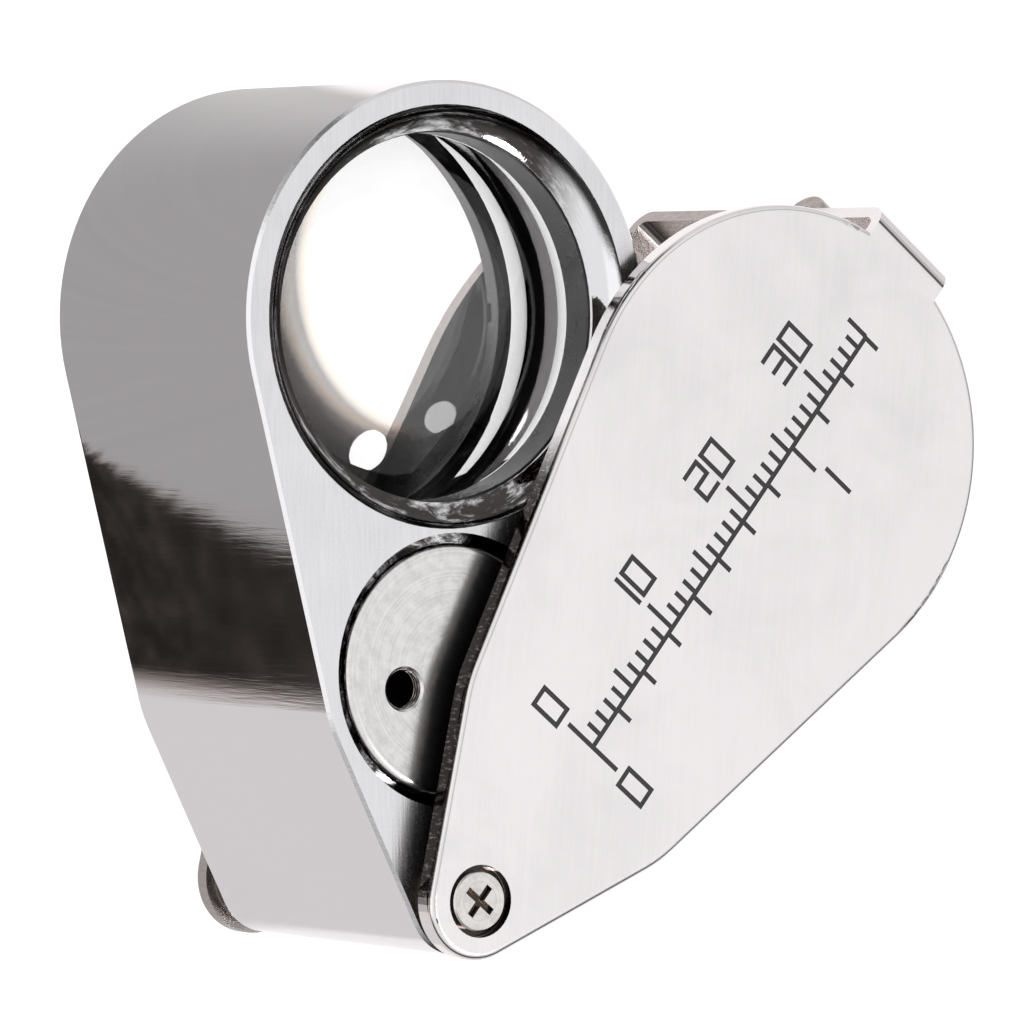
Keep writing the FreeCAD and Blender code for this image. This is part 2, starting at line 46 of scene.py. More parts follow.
def middleOf(node):
    low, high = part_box(node)
    return (Vector(low) + Vector(high)) / 2


mm = 0.001
swing = next(j for j in frame["record"]["behaviour"]["joints"] if j["type"] == "hinge")
pivot = Vector(swing["pos_m"])
swungBy = math.radians(-swing["range_deg"][0])   # how far the housing stands from closed
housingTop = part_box("lens_housing")[1].z
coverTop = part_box("cover_shell")[1].z
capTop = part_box("battery_cap")[1].z
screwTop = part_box("front_pivot_screw")[1].z
lensAt = middleOf("object_lens")
cellAt = middleOf("button_cell_1")
flatten = (1, 1, 0)


# Turned about Z as far as the housing is: x cos - y sin, x sin + y cos.
def alongHousing(x, y):
    c, s = math.cos(swungBy), math.sin(swungBy)
    return x * c - y * s, x * s + y * c


# The barrel's middle at the level of the housing's top face: the pivot's distance from Y 0, turned out.
def mouthPoint():
    x, y = alongHousing(0, -pivot.y)
    return Vector((x + pivot.x, y + pivot.y, housingTop))


mouthAt = mouthPoint()


# An output socket in a node tree, with arithmetic.
class Link:

    def __init__(self, tree, socket):
        self.tree = tree
        self.socket = socket

    # Any node, by its type, its settings and its sockets' values or links.
    def node(self, kind, settings=(), inputs=(), output=0):
        made = self.tree.nodes.new("ShaderNode" + kind)
        for name, value in dict(settings).items():
            setattr(made, name, value)
        for key, value in dict(inputs).items():
            if isinstance(value, Link):
                self.tree.links.new(value.socket, made.inputs[key])
            else:
                made.inputs[key].default_value = value
        return Link(self.tree, made.outputs[output])

    def maths(self, operation, *values):
        return self.node("Math", {"operation": operation}, dict(enumerate(values)))

    def vectors(self, operation, *values, output=0):
        return self.node("VectorMath", {"operation": operation}, dict(enumerate(values)), output)

    def __add__(self, other):
        return self.maths("ADD", self, other)

    def __radd__(self, other):
        return self.maths("ADD", other, self)

    def __sub__(self, other):
        return self.maths("SUBTRACT", self, other)

    def __rsub__(self, other):
        return self.maths("SUBTRACT", other, self)

    def __mul__(self, other):
        return self.maths("MULTIPLY", self, other)

    def __rmul__(self, other):
        return self.maths("MULTIPLY", other, self)

    def __truediv__(self, other):
        return self.maths("DIVIDE", self, other)

    def __rtruediv__(self, other):
        return self.maths("DIVIDE", other, self)

    # 0 up to low, 1 from high on, smooth between. Low may be the greater.
    def step(self, low, high):
        return self.node("MapRange", {"interpolation_type": "SMOOTHSTEP"},
                         {"Value": self, "From Min": low, "From Max": high})

    # 0 to 1 stretched onto low to high.
    def spread(self, low, high):
        return self.node("MapRange", {}, {"Value": self, "To Min": low, "To Max": high})

    # Mix of two colours, this being the share of the second.
    def tint(self, first, second):
        return self.node("Mix", {"data_type": "RGBA"}, {0: self, 6: rgba(first), 7: rgba(second)}, 2)


def rgba(value):
    return value if isinstance(value, Link) else (*value, 1)


# A material being built: its tree, its shader and the places that patterns are looked up at.
class Finish:

    def __init__(self, name, roughness, metallic=0.0, **constants):
        self.material = bpy.data.materials.new(name)
        self.material.use_nodes = True
        self.begin("Principled BSDF")
        self.set("Roughness", roughness)
        self.set("Metallic", metallic)
        for socket, value in constants.items():
            self.set(socket.replace("_", " "), value)

    def begin(self, shader):
        self.tree = self.material.node_tree
        self.shader = self.tree.nodes[shader]
        self.start = Link(self.tree, None)
        self.place = self.start.node("TexCoord", {}, {}, "Object")

    def set(self, name, value):
        if isinstance(value, Link):
            self.tree.links.new(value.socket, self.shader.inputs[name])
        else:
            self.shader.inputs[name].default_value = value

    # Object coordinates about an origin, turned back by an angle about Z.
    def turned(self, angle, origin=(0, 0, 0)):
        moved = self.start.vectors("SUBTRACT", self.place, origin)
        return self.start.node("VectorRotate", {"rotation_type": "Z_AXIS"}, {"Vector": moved, "Angle": -angle})

    def parts(self, place):
        split = self.start.node("SeparateXYZ", {}, {"Vector": place})
        return [Link(self.tree, out) for out in split.socket.node.outputs]

    # Distance from the upright line through a point.
    def fromAxis(self, point):
        flat = self.start.vectors("MULTIPLY", self.place, flatten)
        return self.start.vectors("DISTANCE", flat, (point[0], point[1], 0), output="Value")

    # Noise from 0 to 1, the scale in cells a metre.
    def noise(self, place, scale, stretch=(1, 1, 1), detail=3.0, rough=0.55, distortion=0.0):
        scaled = self.start.vectors("MULTIPLY", place, stretch)
        return self.start.node("TexNoise", {}, {"Vector": scaled, "Scale": scale, "Detail": detail,
                                                "Roughness": rough, "Distortion": distortion})

    # How squarely the surface faces an axis: 0 edge on, 1 square, -1 facing away.
    def facing(self, axis):
        normal = self.start.node("NewGeometry", {}, {}, "True Normal")
        return self.start.vectors("DOT_PRODUCT", normal, axis, output="Value")

    def bump(self, height, distance, strength):
        self.set("Normal", self.start.node("Bump", {}, {"Height": height, "Distance": distance,
                                                        "Strength": strength}))

    def put(self, *names):
        for name in names:
            for slot in frame["nodes"][name].material_slots:
                slot.link = "OBJECT"
                slot.material = self.material


# The housing's chrome: brushed face, polished flank, painted reflection in dark streaks in the mouth and
# painted shade in the cap's groove.
def housingChrome():
    looks = {"faceRough": 0.24, "flankRough": 0.085, "mouthRough": 0.045,
             "white": (0.765, 0.755, 0.77), "dull": (0.66, 0.655, 0.67),
             "barrel": (0.26, 0.25, 0.25), "barrelDeep": (0.10, 0.095, 0.095),
             "paintedShade": (0.02, 0.018, 0.017), "paintedShadeGrey": (0.09, 0.082, 0.078),
             "brushed": {"scale": 900, "stretch": (6, 0.35, 6), "detail": 4.0, "rough": 0.6},
             "cloudy": {"scale": 160}, "fine": {"scale": 5200, "detail": 2.0},
             "vertical": {"scale": 1500, "stretch": (2.2, 2.2, 0.10), "rough": 0.6},
             "streak": {"scale": 5.0, "detail": 5.0, "rough": 0.68, "distortion": 0.4},
             "streakTurn": 2.2, "streakRise": 0.22 / mm, "streakWave": 6 * mm,
             "faceDepth": (0.25 * mm, 0.05 * mm), "faceLevel": (0.97, 0.995),
             "mouthRadius": (14.0 * mm, 13.8 * mm), "barrelDepth": (1.5 * mm, 1.9 * mm),
             "paintedShadeAcross": (11.5 * mm, 8 * mm), "paintedShadeStreaks": (0.30, 0.52),
             "grooveRadius": (9.2 * mm, 9.1 * mm), "grooveDepth": (0.02 * mm, 0.30 * mm),
             "grooveStreaks": (0.62, 0.45), "barrelSlope": 0.02 / mm,
             "bumpDepth": 0.012 * mm, "bumpStrength": 0.6}
    made = Finish("housing_chrome", looks["flankRough"], 1.0)
    local = made.turned(swungBy, (pivot.x, pivot.y, 0))
    x, y, z = made.parts(local)
    depth = housingTop - z
    radius = made.fromAxis(lensAt)
    face = made.facing((0, 0, 1)).step(*looks["faceLevel"]) * depth.step(*looks["faceDepth"])
    inside = radius.step(*looks["mouthRadius"])
    brushed = made.noise(local, **looks["brushed"])
    cloudy = made.noise(local, **looks["cloudy"])
    fine = made.noise(local, **looks["fine"])
    vertical = made.noise(local, **looks["vertical"])
    tone = (0.55 * brushed + 0.45 * cloudy).step(0.3, 0.75)
    plain = (tone * face).tint(looks["white"], looks["dull"])
    # Painted shade inside the bore below the face, darker towards one side.
    wall = (x * looks["barrelSlope"] + fine * 0.5).step(0.1, 0.9).tint(looks["barrel"], looks["barrelDeep"])
    plain = (inside * depth.step(*looks["barrelDepth"])).tint(plain, wall)
    # Streaks run along the angle about the pivot, then by distance from the lens axis and by height.
    polar = made.start.node("CombineXYZ", {}, {"X": y.maths("ARCTAN2", y, x) * looks["streakTurn"],
                                               "Y": radius * looks["streakRise"], "Z": z * looks["streakRise"]})
    streak = made.noise(polar, **looks["streak"])
    # Painted reflection: dark streaky colour over the left and middle of the mouth, off the top face.
    paintedShadeMask = (x + (streak - 0.5) * looks["streakWave"]).step(*looks["paintedShadeAcross"])
    shade = paintedShadeMask * streak.step(*looks["paintedShadeStreaks"]) * inside * (1 - face)
    # Painted shade in streaks in the groove round the cap.
    groove = made.fromAxis(cellAt).step(*looks["grooveRadius"]) * depth.step(*looks["grooveDepth"])
    shade = shade + groove * streak.step(*looks["grooveStreaks"]) * (1 - shade)
    made.set("Base Color", shade.tint(plain, streak.tint(looks["paintedShade"], looks["paintedShadeGrey"])))
    rough = looks["flankRough"] + vertical.spread(-0.03, 0.05)
    rough = rough + face * (looks["faceRough"] - looks["flankRough"] + brushed.spread(-0.05, 0.07))
    made.set("Roughness", rough * (1 - inside) + inside * looks["mouthRough"])
    waves = vertical * (1 - face) * (1 - inside) * 1.2 + brushed * face + inside * fine * 0.5
    made.bump(waves, looks["bumpDepth"], looks["bumpStrength"])
    made.put("lens_housing")


# The cover's bent sheet: pale satin plates, an inked rule, painted shade on the edges towards the housing and
# under the front plate, and a grey strap.
def coverSteel():
    looks = {"faceRough": 0.30, "sideRough": 0.10, "innerRough": 0.16, "inkRough": 0.6,
             "white": (0.83, 0.80, 0.805), "dull": (0.74, 0.715, 0.72), "ink": (0.02, 0.02, 0.02),
             "inside": (0.42, 0.385, 0.37), "insideDull": (0.34, 0.31, 0.30),
             "paintedShade": (0.03, 0.024, 0.022), "paintedShadePale": (0.30, 0.28, 0.27), "dimple": (0.05, 0.04, 0.035),
             "smudge": {"scale": 110, "detail": 5.0, "rough": 0.6, "distortion": 0.6},
             "scratch": {"scale": 700, "stretch": (9, 0.18, 1), "rough": 0.7},
             "scratchTurn": 0.6, "grain": {"scale": 2600, "detail": 2.0},
             "run": {"scale": 5200, "stretch": (1, 1, 0.3), "detail": 4.0, "rough": 0.65},
             "frontDepth": (0.6 * mm, 0.2 * mm), "frontLevel": (0.90, 0.99),
             "inkDepth": (0.012 * mm, 0.03 * mm),
             "edgeDepth": (0.12 * mm, 0.22 * mm), "edgeEnd": (2.4 * mm, 2.2 * mm),
             "edgeAlong": (-9 * mm, -14 * mm), "edgeTurn": 0.4, "underDepth": (3 * mm, 2.4 * mm),
             "rearRise": (4 * mm, 2 * mm),
             "strapInside": (12 * mm, 15 * mm), "strapOutside": (15.4 * mm, 15.8 * mm),
             "strapRise": (25 * mm, 17 * mm), "strapAcross": (9 * mm, 2 * mm), "strapShare": (0.45, 1.0),
             "dimpleRadius": (2.45 * mm, 2.35 * mm), "dimpleDepth": (0.03 * mm, 0.12 * mm),
             "bumpDepth": 0.006 * mm, "bumpStrength": 0.75}
    made = Finish("cover_steel", looks["faceRough"], 1.0)
    x, y, z = made.parts(made.place)
    depth = coverTop - z
    up = made.facing((0, 0, 1))
    front = up.step(*looks["frontLevel"]) * depth.step(*looks["frontDepth"])
    smudge = made.noise(made.place, **looks["smudge"])
    scratch = made.noise(made.turned(looks["scratchTurn"]), **looks["scratch"])
    grain = made.noise(made.place, **looks["grain"])
    run = made.noise(made.place, **looks["run"])
    plain = (0.75 * smudge + 0.25 * scratch).step(0.38, 0.72).tint(looks["white"], looks["dull"])
    # Painted shade where the front plate's edge and underside turn to the housing.
    paintedShade = run.step(0.52, 0.74).tint(looks["paintedShade"], looks["paintedShadePale"])
    leftward = made.facing((-math.cos(looks["edgeTurn"]), math.sin(looks["edgeTurn"]), 0))
    edge = leftward.step(0.25, 0.6) * depth.step(*looks["edgeEnd"]) * depth.step(*looks["edgeDepth"])
    plain = (edge * y.step(*looks["edgeAlong"])).tint(plain, paintedShade)
    # Painted shade: grey inside the rear plate and on both sides of the strap, paler to the strap's right.
    rear = up.step(-0.6, -0.3) * z.step(*looks["rearRise"])
    strapInside = made.facing((0, -1, 0)).step(0.4, 0.8) * y.step(*looks["strapInside"])
    strapOutside = y.step(*looks["strapOutside"]) * (1 - front) * z.step(*looks["strapRise"])
    strapOutside = strapOutside * x.step(*looks["strapAcross"]).spread(*looks["strapShare"])
    inner = rear.maths("MAXIMUM", rear.maths("MAXIMUM", rear, strapInside), strapOutside)
    plain = inner.tint(plain, run.step(0.35, 0.7).tint(looks["inside"], looks["insideDull"]))
    # Painted shade on the underside of the front plate.
    plain = (up.step(-0.5, -0.8) * depth.step(*looks["underDepth"])).tint(plain, paintedShade)
    # Painted shade in the dimple round the pivot screw.
    dimple = made.fromAxis(pivot).step(*looks["dimpleRadius"]) * depth.step(*looks["dimpleDepth"])
    plain = dimple.tint(plain, looks["dimple"])
    ink = depth.step(*looks["inkDepth"]) * front
    made.set("Base Color", ink.tint(plain, looks["ink"]))
    made.set("Metallic", 1 - ink)
    rough = looks["sideRough"] + front * (looks["faceRough"] - looks["sideRough"])
    rough = rough + smudge.spread(-0.05, 0.05) * front + looks["innerRough"] * inner
    made.set("Roughness", rough * (1 - ink) + looks["inkRough"] * ink)
    made.bump((grain + scratch) * 0.5 * (0.8 * front + 0.2), looks["bumpDepth"], looks["bumpStrength"])
    made.put("cover_shell")


housingChrome()
coverSteel()

# Turned and stamped metal. A recess has painted shade: dark inside its radius below its level, and beyond its
# edge below its top.
turnedPieces = {
    "cap_chrome": {"nodes": ["battery_cap"], "base": (0.78, 0.755, 0.755), "dull": (0.60, 0.58, 0.58),
                   "roughness": 0.20, "centre": cellAt,
                   "recess": {"level": capTop - 0.35 * mm, "fade": 0.1 * mm, "radius": 7.0 * mm,
                              "edge": 8.25 * mm, "top": capTop - 0.15 * mm, "dark": (0.015, 0.013, 0.012)}},
    "screw_steel": {"nodes": ["front_pivot_screw", "rear_pivot_screw"], "base": (0.78, 0.75, 0.73),
                    "dull": (0.56, 0.53, 0.51), "roughness": 0.16, "centre": pivot,
                    "recess": {"level": screwTop - 0.08 * mm, "fade": 0.22 * mm, "radius": 1.5 * mm,
                               "edge": 2.0 * mm, "top": screwTop - 0.1 * mm, "dark": (0.06, 0.045, 0.035)}},
    "post_steel": {"nodes": ["pivot_post"], "base": (0.62, 0.61, 0.60), "dull": (0.5, 0.49, 0.48),
                   "roughness": 0.25, "centre": pivot},
    "eye_steel": {"nodes": ["lanyard_eye"], "base": (0.42, 0.385, 0.36), "dull": (0.25, 0.225, 0.21),
                  "roughness": 0.2, "centre": (0, 0)},
    "washer_brass": {"nodes": ["front_washer", "rear_washer"], "base": (0.50, 0.39, 0.20),
                     "dull": (0.32, 0.24, 0.11), "roughness": 0.3, "centre": pivot},
    "spring_steel": {"nodes": ["front_spring_washer", "rear_spring_washer", "battery_spring"],
                     "base": (0.62, 0.62, 0.63), "dull": (0.45, 0.45, 0.46), "roughness": 0.22,
                     "centre": pivot},
    "cell_steel": {"nodes": ["button_cell_1", "button_cell_2", "button_cell_3"], "base": (0.8, 0.8, 0.79),
                   "dull": (0.66, 0.66, 0.65), "roughness": 0.22, "centre": cellAt},
    "contact_brass": {"nodes": ["contact_plate"], "base": (0.85, 0.7, 0.38), "dull": (0.66, 0.5, 0.24),
                      "roughness": 0.28, "centre": cellAt},
    "panel_screw_steel": {"nodes": ["panel_screws"], "base": (0.35, 0.35, 0.36), "dull": (0.2, 0.2, 0.21),
                          "roughness": 0.3, "centre": cellAt},
}


# Fine rings by distance from an upright axis, with a mottle over them.
def turnedMetal(name, nodes, base, dull, roughness, centre, recess=None):
    looks = {"rings": {"scale": 4500, "detail": 2.0, "rough": 0.6},
             "mottle": {"scale": 1200, "detail": 4.0, "rough": 0.65},
             "insideFade": 0.97, "rimFade": 0.985, "bumpDepth": 0.01 * mm, "bumpStrength": 0.5}
    made = Finish(name, roughness, 1.0)
    radius = made.fromAxis(centre)
    lathe = made.noise(made.start.node("CombineXYZ", {}, {"X": radius}), **looks["rings"])
    spots = made.noise(made.place, **looks["mottle"])
    shown = (0.4 * lathe + 0.6 * spots).step(0.35, 0.7).tint(base, dull)
    # Painted shade in the recess and beyond its rim.
    if recess:
        z = made.parts(made.place)[2]
        deep = z.step(recess["level"], recess["level"] - recess["fade"])
        deep = deep * radius.step(recess["radius"], recess["radius"] * looks["insideFade"])
        rim = radius.step(recess["edge"] * looks["rimFade"], recess["edge"]) * spots.step(0.62, 0.42)
        rim = rim * z.step(recess["top"], recess["top"] - recess["fade"] * 2)
        shown = (deep + rim * (1 - deep)).tint(shown, recess["dark"])
    made.set("Base Color", shown)
    made.set("Roughness", roughness * (0.75 + 0.6 * spots))
    made.bump(lathe * 0.5 + spots, looks["bumpDepth"], looks["bumpStrength"])
    made.put(*nodes)


for name, look in turnedPieces.items():
    turnedMetal(name, **look)
print("metals done")

mouldedPieces = {
    "black_ring": {"nodes": ["eye_stop_ring", "lens_retaining_ring"], "base": (0.015, 0.015, 0.016),
                   "dull": (0.04, 0.04, 0.042), "roughness": 0.28},
    "sleeve_plastic": {"nodes": ["battery_sleeve"], "base": (0.82, 0.82, 0.78), "dull": (0.7, 0.7, 0.66),
                       "roughness": 0.5},
    "panel_black": {"nodes": ["rear_panel"], "base": (0.03, 0.03, 0.033), "dull": (0.06, 0.06, 0.065),
                    "roughness": 0.4, "grain": 3200, "depth": 0.02 * mm},
    "switch_black": {"nodes": ["switch_body"], "base": (0.03, 0.03, 0.03), "dull": (0.055, 0.055, 0.055),
                     "roughness": 0.5},
    "knob_black": {"nodes": ["switch_knob"], "base": (0.035, 0.035, 0.036), "dull": (0.06, 0.06, 0.06),
                   "roughness": 0.42},
    "resistor_black": {"nodes": ["resistors"], "base": (0.03, 0.03, 0.03), "dull": (0.12, 0.12, 0.12),
                       "roughness": 0.3, "grain": 4000},
    "board_green": {"nodes": ["led_board"], "base": (0.02, 0.16, 0.07), "dull": (0.05, 0.26, 0.12),
                    "roughness": 0.3, "grain": 1600, "coat": 0.4},
}


# Plastic or paint: a fine moulded grain under patches twelve times as large.
def moulded(name, nodes, base, dull, roughness, grain=2500, coat=0.0, depth=0.01 * mm):
    made = Finish(name, roughness, 0.0, Coat_Weight=coat)
    patches = made.noise(made.place, grain / 12, detail=4.0, rough=0.6)
    fine = made.noise(made.place, grain, detail=2.0)
    made.set("Base Color", (0.7 * patches + 0.3 * fine).step(0.3, 0.75).tint(base, dull))
    made.set("Roughness", roughness * (0.8 + 0.4 * patches))
    made.bump(fine, depth, 0.6)
    made.put(*nodes)


for name, look in mouldedPieces.items():
    moulded(name, **look)

epoxyPieces = {
    "led_clear": {"node": "white_led", "base": (0.97, 0.97, 0.93), "dull": (0.9, 0.9, 0.86)},
    "led_violet": {"node": "ultraviolet_led", "base": (0.72, 0.62, 0.95), "dull": (0.55, 0.42, 0.85)},
}


# Cast resin of the lamps, clear with a faint swirl.
def clearEpoxy(name, node, base, dull):
    made = Finish(name, 0.08, 0.0, Transmission_Weight=0.85, IOR=1.5)
    swirl = made.noise(made.place, 500)
    made.set("Base Color", swirl.step(0.3, 0.8).tint(base, dull))
    made.set("Roughness", swirl.spread(0.04, 0.14))
    made.put(node)


for name, look in epoxyPieces.items():
    clearEpoxy(name, **look)


# Clear glass with a thin film. The eye lens has painted shade outside an oval about the mouth, on the left half
# only:
# first a painted warm fringe, then grey, then nearly black.
def lensGlass():
    looks = {"index": 1.38, "clear": (1.0, 1.0, 1.0), "film": (0.985, 0.985, 0.985),
             "paintedFringe": (1.0, 0.82, 0.66), "shade": (0.20, 0.18, 0.17), "deep": (0.03, 0.027, 0.026),
             "ovalAcross": 9.2 * mm, "ovalAlong": 9.9 * mm, "ovalShift": 2.45 * mm,
             "left": (0.5 * mm, -1.5 * mm), "frontFacing": (0.1, 0.3)}
    for name, nodes in (("lens_glass", ("centre_lens", "object_lens")), ("eye_glass", ("eye_lens",))):
        made = Finish(name, 0.0, 0.0, Transmission_Weight=1.0, IOR=looks["index"])
        film = made.noise(made.place, 90)
        clear = film.step(0.3, 0.8).tint(looks["clear"], looks["film"])
        if name == "eye_glass":
            # Painted shade and a painted warm fringe on the eye lens.
            x, y = made.parts(made.turned(swungBy, (mouthAt.x, mouthAt.y, 0)))[:2]
            across = x / looks["ovalAcross"]
            along = (y - looks["ovalShift"]) / looks["ovalAlong"]
            oval = across * across + along * along
            side = x.step(*looks["left"]) * made.facing((0, 0, 1)).step(*looks["frontFacing"])
            clear = (side * oval.step(0.90, 1.0) * oval.step(1.12, 1.0)).tint(clear, looks["paintedFringe"])
            clear = (side * oval.step(0.97, 1.12)).tint(clear, looks["shade"])
            clear = (side * oval.step(1.15, 1.5)).tint(clear, looks["deep"])
        made.set("Base Color", clear)
        made.set("Roughness", film.spread(0.0, 0.003))
        made.put(*nodes)


lensGlass()
print("plastics and glass done")


# A mesh from a grid of points of any shape, four corners of each cell in order.
def meshed(name, points, quads, material):
    mesh = bpy.data.meshes.new(name)
    mesh.from_pydata(points.reshape(-1, 3).tolist(), [], quads.reshape(-1, 4).tolist())
    mesh.materials.append(material)
    made = bpy.data.objects.new(name, mesh)
    bpy.context.scene.collection.objects.link(made)
    return made


# Closed rings round an upright axis, one for each level: distance from the axis is the ring's radius plus the
# wire's radius by the cosine round the wire, height is the level plus the wire's radius by its sine.
def ringStack(centre, radius, wire, levels):
    a, w = np.meshgrid(np.linspace(0, 2 * np.pi, 64, endpoint=False),
                       np.linspace(0, 2 * np.pi, 12, endpoint=False), indexing="ij")
    reach = radius + wire * np.cos(w)
    grid = np.stack([centre[0] + reach * np.cos(a), centre[1] + reach * np.sin(a), wire * np.sin(w)], -1)
    lift = np.zeros((len(levels), 1, 1, 3))
    lift[:, 0, 0, 2] = levels
    return grid + lift


# Cells of grids that close on themselves both ways, wound so that they face outwards.
def ringCells(grids):
    index = np.arange(grids[..., 0].size).reshape(grids.shape[:3])
    onward = np.roll(index, -1, 1)
    return np.stack([index, onward, np.roll(onward, -1, 2), np.roll(index, -1, 2)], -1)


# Three thread rings in each of the cap's spanner holes. The holes are the rims in the cap's top face near its
# middle, one on each side of it.
def spannerThreads():
    looks = {"wire": 0.07 * mm, "radius": 1.30 * mm, "levels": (-0.32, -0.58, -0.84),
             "dark": (0.10, 0.09, 0.085), "light": (0.42, 0.40, 0.38), "roughness": 0.25,
             "topBand": 0.02 * mm, "within": 6 * mm}
    cap = frame["nodes"]["battery_cap"]
    points = np.empty(len(cap.data.vertices) * 3)
    cap.data.vertices.foreach_get("co", points)
    points = points.reshape(-1, 3)
    middle = np.array(cellAt)[:2]
    top = points[:, 2].max()
    reach = np.hypot(*(points[:, :2] - middle).T)
    edge = points[(points[:, 2] > top - looks["topBand"]) & (reach < looks["within"]), :2]
    away = edge - middle
    side = away @ away[np.argmax(np.hypot(*away.T))]
    made = Finish("thread_steel", looks["roughness"], 1.0)
    spots = made.noise(made.place, 2400)
    made.set("Base Color", spots.step(0.35, 0.7).tint(looks["dark"], looks["light"]))
    for number, hole in enumerate((edge[side > 0], edge[side < 0]), 1):
        centre = (hole.min(0) + hole.max(0)) / 2
        rings = ringStack(centre, looks["radius"], looks["wire"], top + np.array(looks["levels"]) * mm)
        piece = meshed(f"spanner_thread_{number}", rings, ringCells(rings), made.material)
        piece.data.polygons.foreach_set("use_smooth", np.ones(len(piece.data.polygons), bool))
        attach(piece, "housing")
        print("spanner thread", number, "at", centre.round(5))


spannerThreads()


def camera():
    looks = {"place": (-240.123, -186.713, 455.893), "turn": (-1.3912, -33.5091, 39.4361),
             "lens": 274.77, "sensor": 36, "near": 0.01, "far": 20}
    data = bpy.data.cameras.new("camera")
    made = bpy.data.objects.new("camera", data)
    bpy.context.scene.collection.objects.link(made)
    made.location = Vector(looks["place"]) * mm
    made.rotation_euler = [math.radians(a) for a in looks["turn"]]
    data.lens = looks["lens"]
    data.sensor_width = looks["sensor"]
    data.clip_start = looks["near"]
    data.clip_end = looks["far"]
    bpy.context.scene.camera = made


# Rows by columns of points, a cell between each four.
def gridded(name, points, material):
    rows, columns = points.shape[:2]
    index = np.arange(rows * columns).reshape(rows, columns)
    quads = np.stack([index[:-1, :-1], index[:-1, 1:], index[1:, 1:], index[1:, :-1]], -1)
    made = meshed(name, points, quads, material)
    return made


# A level square about the origin: corners at half the side each way.
def levelSquare(name, height, side, material):
    ends = np.array([-0.5, 0.5]) * side
    x, y = np.meshgrid(ends, ends)
    return gridded(name, np.stack([x, y, np.full_like(x, height)], -1), material)


def glowing(name, strength):
    made = bpy.data.materials.new(name)
    made.use_nodes = True
    tree = made.node_tree
    tree.nodes.clear()
    light = tree.nodes.new("ShaderNodeEmission")
    light.inputs["Color"].default_value = (1, 1, 1, 1)
    light.inputs["Strength"].default_value = strength
    tree.links.new(light.outputs[0], tree.nodes.new("ShaderNodeOutputMaterial").inputs["Surface"])
    return made


# A light that varies over its surface, looked up along the housing from its mouth.
class Glow(Finish):

    def __init__(self, name, scale):
        self.material = glowing(name, 1.0)
        self.begin("Emission")
        local = self.turned(swungBy, (mouthAt.x, mouthAt.y, 0))
        self.local = self.start.node("VectorMath", {"operation": "SCALE"}, {0: local, "Scale": scale})

    def shine(self, tone, level):
        self.set("Color", self.start.node("VectorMath", {"operation": "SCALE"}, {0: tone, "Scale": level}))


# Seen only in polished metal: not by the camera, nor as light on matt things.
def onlyMirrored(thing):
    thing.visible_camera = False
    thing.visible_diffuse = False
    thing.visible_transmission = False
    thing.visible_shadow = False


# The bench top as chrome sees it, in mm along the housing: grey at the sides, a dark cloth beside the flank,
# white behind. The cloth's upper edge is a ragged parabola, its tail end a slanting line.
def bench():
    looks = {"leftGrey": 0.445, "rightGrey": 0.64, "greyAcross": (-16, 3),
             "white": 1.12, "whiteAcross": (5.5, 10),
             "tailAlong": (-24, -30), "tailLeft": 0.80, "leftAcross": (4, -4),
             "tailRight": 1.05, "rightAcross": (-3, 2),
             "edgeSlope": 1.26, "edgeAt": 9.408, "edgeBend": 0.16, "bendFrom": 21, "ragged": 5.0,
             "edgeFade": (0.9, -0.9), "clothAlong": (-2, -5), "clothAcross": (-2, -9),
             "tailSlope": 0.72, "tailAt": -16.816, "tailFade": (1.4, -1.6),
             "clothLow": 0.022, "clothHigh": 0.06, "tailGrey": 0.80,
             "warm": (1, 0.84, 0.74), "pale": (1, 0.965, 0.96), "beyondGrey": 0.8,
             "beyond": (70 * 70, 110 * 110),   # squares of distances
             "tearing": {"scale": 1.1, "stretch": (0.35, 1.6, 1), "detail": 4.0, "rough": 0.7},
             "weave": {"scale": 0.5, "stretch": (1.6, 0.6, 1), "rough": 0.6},
             "lines": {"scale": 0.9, "detail": 4.0, "rough": 0.7}, "side": 3, "height": -0.01 * mm}
    glow = Glow("bench", 1 / mm)
    x, y = glow.parts(glow.local)[:2]
    upper = x.step(*looks["greyAcross"]).spread(looks["leftGrey"], looks["rightGrey"])
    upper = upper + (looks["white"] - upper) * x.step(*looks["whiteAcross"])
    tailward = y.step(*looks["tailAlong"])
    upper = upper + (looks["tailLeft"] - upper) * tailward * x.step(*looks["leftAcross"])
    upper = upper + (looks["tailRight"] - upper) * tailward * x.step(*looks["rightAcross"])
    ragged = glow.noise(glow.local, **looks["tearing"]) - 0.5
    bend = (x + looks["bendFrom"]) * looks["edgeBend"]
    edge = looks["edgeSlope"] * x + looks["edgeAt"] + bend * bend + ragged * looks["ragged"]
    below = (y - edge).step(*looks["edgeFade"]) * y.step(*looks["clothAlong"]) * x.step(*looks["clothAcross"])
    tail = (y - (looks["tailSlope"] * x + looks["tailAt"])).step(*looks["tailFade"])
    weave = glow.noise(glow.local, **looks["weave"])
    cloth = weave.step(0.35, 0.8).spread(looks["clothLow"], looks["clothHigh"])
    lower = tail * looks["tailGrey"] + (1 - tail) * cloth
    lines = glow.noise(glow.start.node("CombineXYZ", {}, {"X": 0.97 * y - 0.23 * x}), **looks["lines"])
    near = upper * lines.spread(0.88, 1.10) * (1 - below) + lower * below
    far = (x * x + y * y).step(*looks["beyond"])
    glow.shine((below * (1 - tail)).tint(looks["pale"], looks["warm"]),
               near * (1 - far) + looks["beyondGrey"] * far)
    onlyMirrored(levelSquare("bench", looks["height"], looks["side"], glow.material))


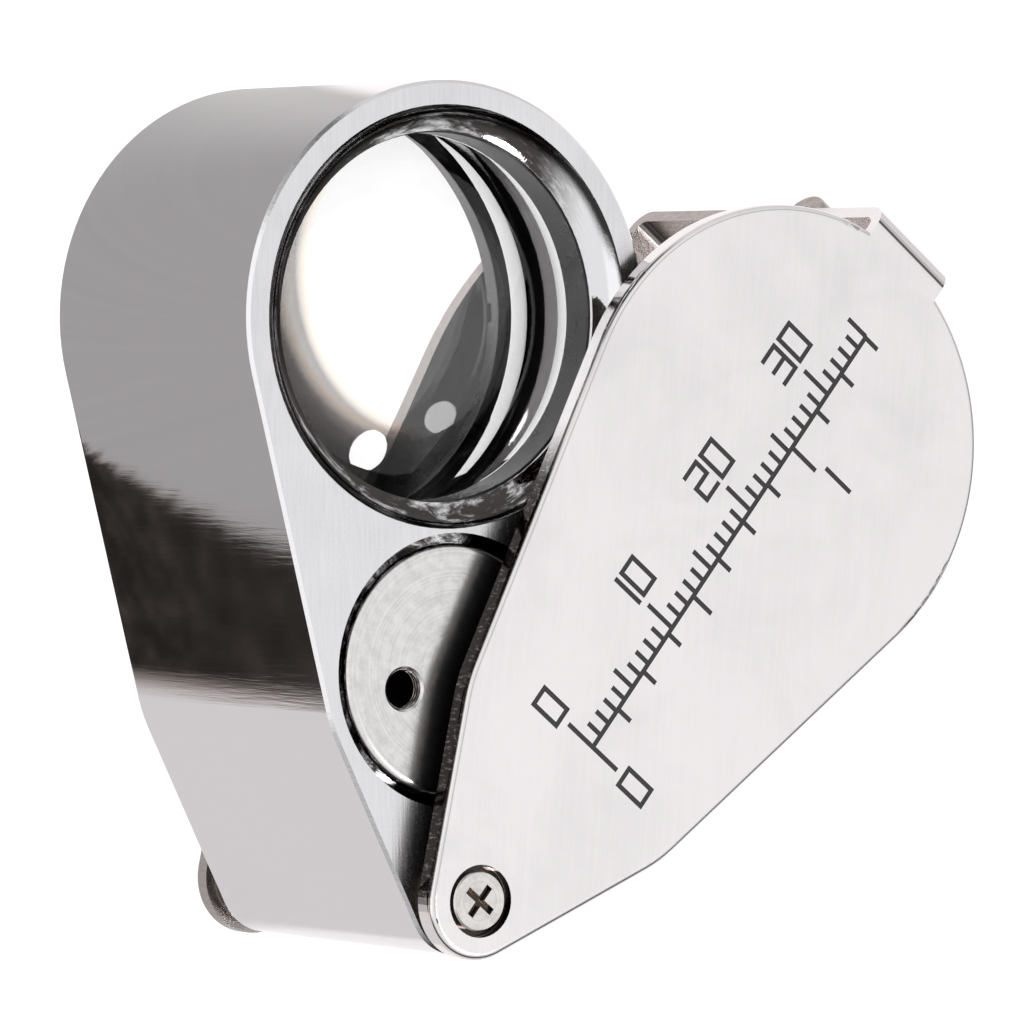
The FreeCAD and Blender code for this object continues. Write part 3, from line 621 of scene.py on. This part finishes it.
# A dome as chrome sees it: dark low down, a pale ceiling, a window on the left and a light wall behind.
# A point is the radius along the direction cos a cos e, sin a cos e, sin e.
def studio():
    looks = {"radius": 1.4, "wall": 0.045, "ceiling": 0.99, "ceilingRise": (0.20, 0.66),
             "window": 1.2, "windowLeft": (0.62, 0.74), "windowRise": (0.10, 0.26),
             "windowAlong": (-0.62, -0.30), "behind": 0.9, "behindShare": 0.9, "behindFrom": (0.60, 0.80),
             "ripple": {"scale": 14, "detail": 4.0, "rough": 0.7}}
    glow = Glow("studio", 1.0)
    direction = glow.start.vectors("NORMALIZE", glow.local)
    x, y, z = glow.parts(direction)
    ripple = glow.noise(direction, **looks["ripple"]) - 0.5
    level = (z + ripple * 0.16).step(*looks["ceilingRise"]).spread(looks["wall"], looks["ceiling"])
    window = (ripple * 0.12 - x).step(*looks["windowLeft"]) * z.step(*looks["windowRise"])
    window = window * (y + ripple * 0.2).step(*looks["windowAlong"])
    behind = (0.65 * x + 0.76 * y).step(*looks["behindFrom"])
    level = level + (looks["window"] - level) * window
    level = level + (looks["behind"] - level) * behind * looks["behindShare"]
    glow.shine((1, 1, 1), level)
    a, e = np.meshgrid(np.linspace(0, 2 * np.pi, 97), np.linspace(-0.5 * np.pi, 0.5 * np.pi, 49))
    points = looks["radius"] * np.stack([np.cos(a) * np.cos(e), np.sin(a) * np.cos(e), np.sin(e)], -1)
    onlyMirrored(gridded("studio", points, glow.material))


lamps = {
    "lamp_back": {"towards": (-0.45, 0.72, 0.53), "size": 0.16, "strength": 230},   # shows through glass only
    "lamp_front": {"towards": (0.30, -0.507, 0.808), "size": 0.10, "strength": 36},
}


# A round softbox far off, the direction given along the housing: its centre plus the reach by cos and sin
# of the angle, on two lines square to the direction.
def lamp(name, towards, size, strength):
    x, y = alongHousing(*towards[:2])
    away = Vector((x, y, towards[2])).normalized()
    across = away.cross(Vector((0, 0, 1))).normalized()
    a, r = np.meshgrid(np.linspace(0, 2 * np.pi, 49), np.linspace(0, size, 3))
    turn = np.cos(a)[..., None] * np.array(across) + np.sin(a)[..., None] * np.array(across.cross(away))
    points = np.array(mouthAt + 1.2 * away) + r[..., None] * turn
    made = gridded(name, points, glowing(name, strength))
    onlyMirrored(made)
    return made


camera()
world = bpy.data.worlds.new("world")
bpy.context.scene.world = world
world.use_nodes = True
world.node_tree.nodes["Background"].inputs[0].default_value = (1, 1, 1, 1)
bpy.context.scene.view_settings.view_transform = "Standard"
floorSide, floorHeight, floorGlow = 3, -0.02 * mm, 1.15
levelSquare("floor", floorHeight, floorSide, glowing("floor", floorGlow)).visible_glossy = False
bench()
studio()
for name, look in lamps.items():
    made = lamp(name, **look)
    if name == "lamp_back":
        made.visible_transmission = True
        made.visible_glossy = False
print("stage done")
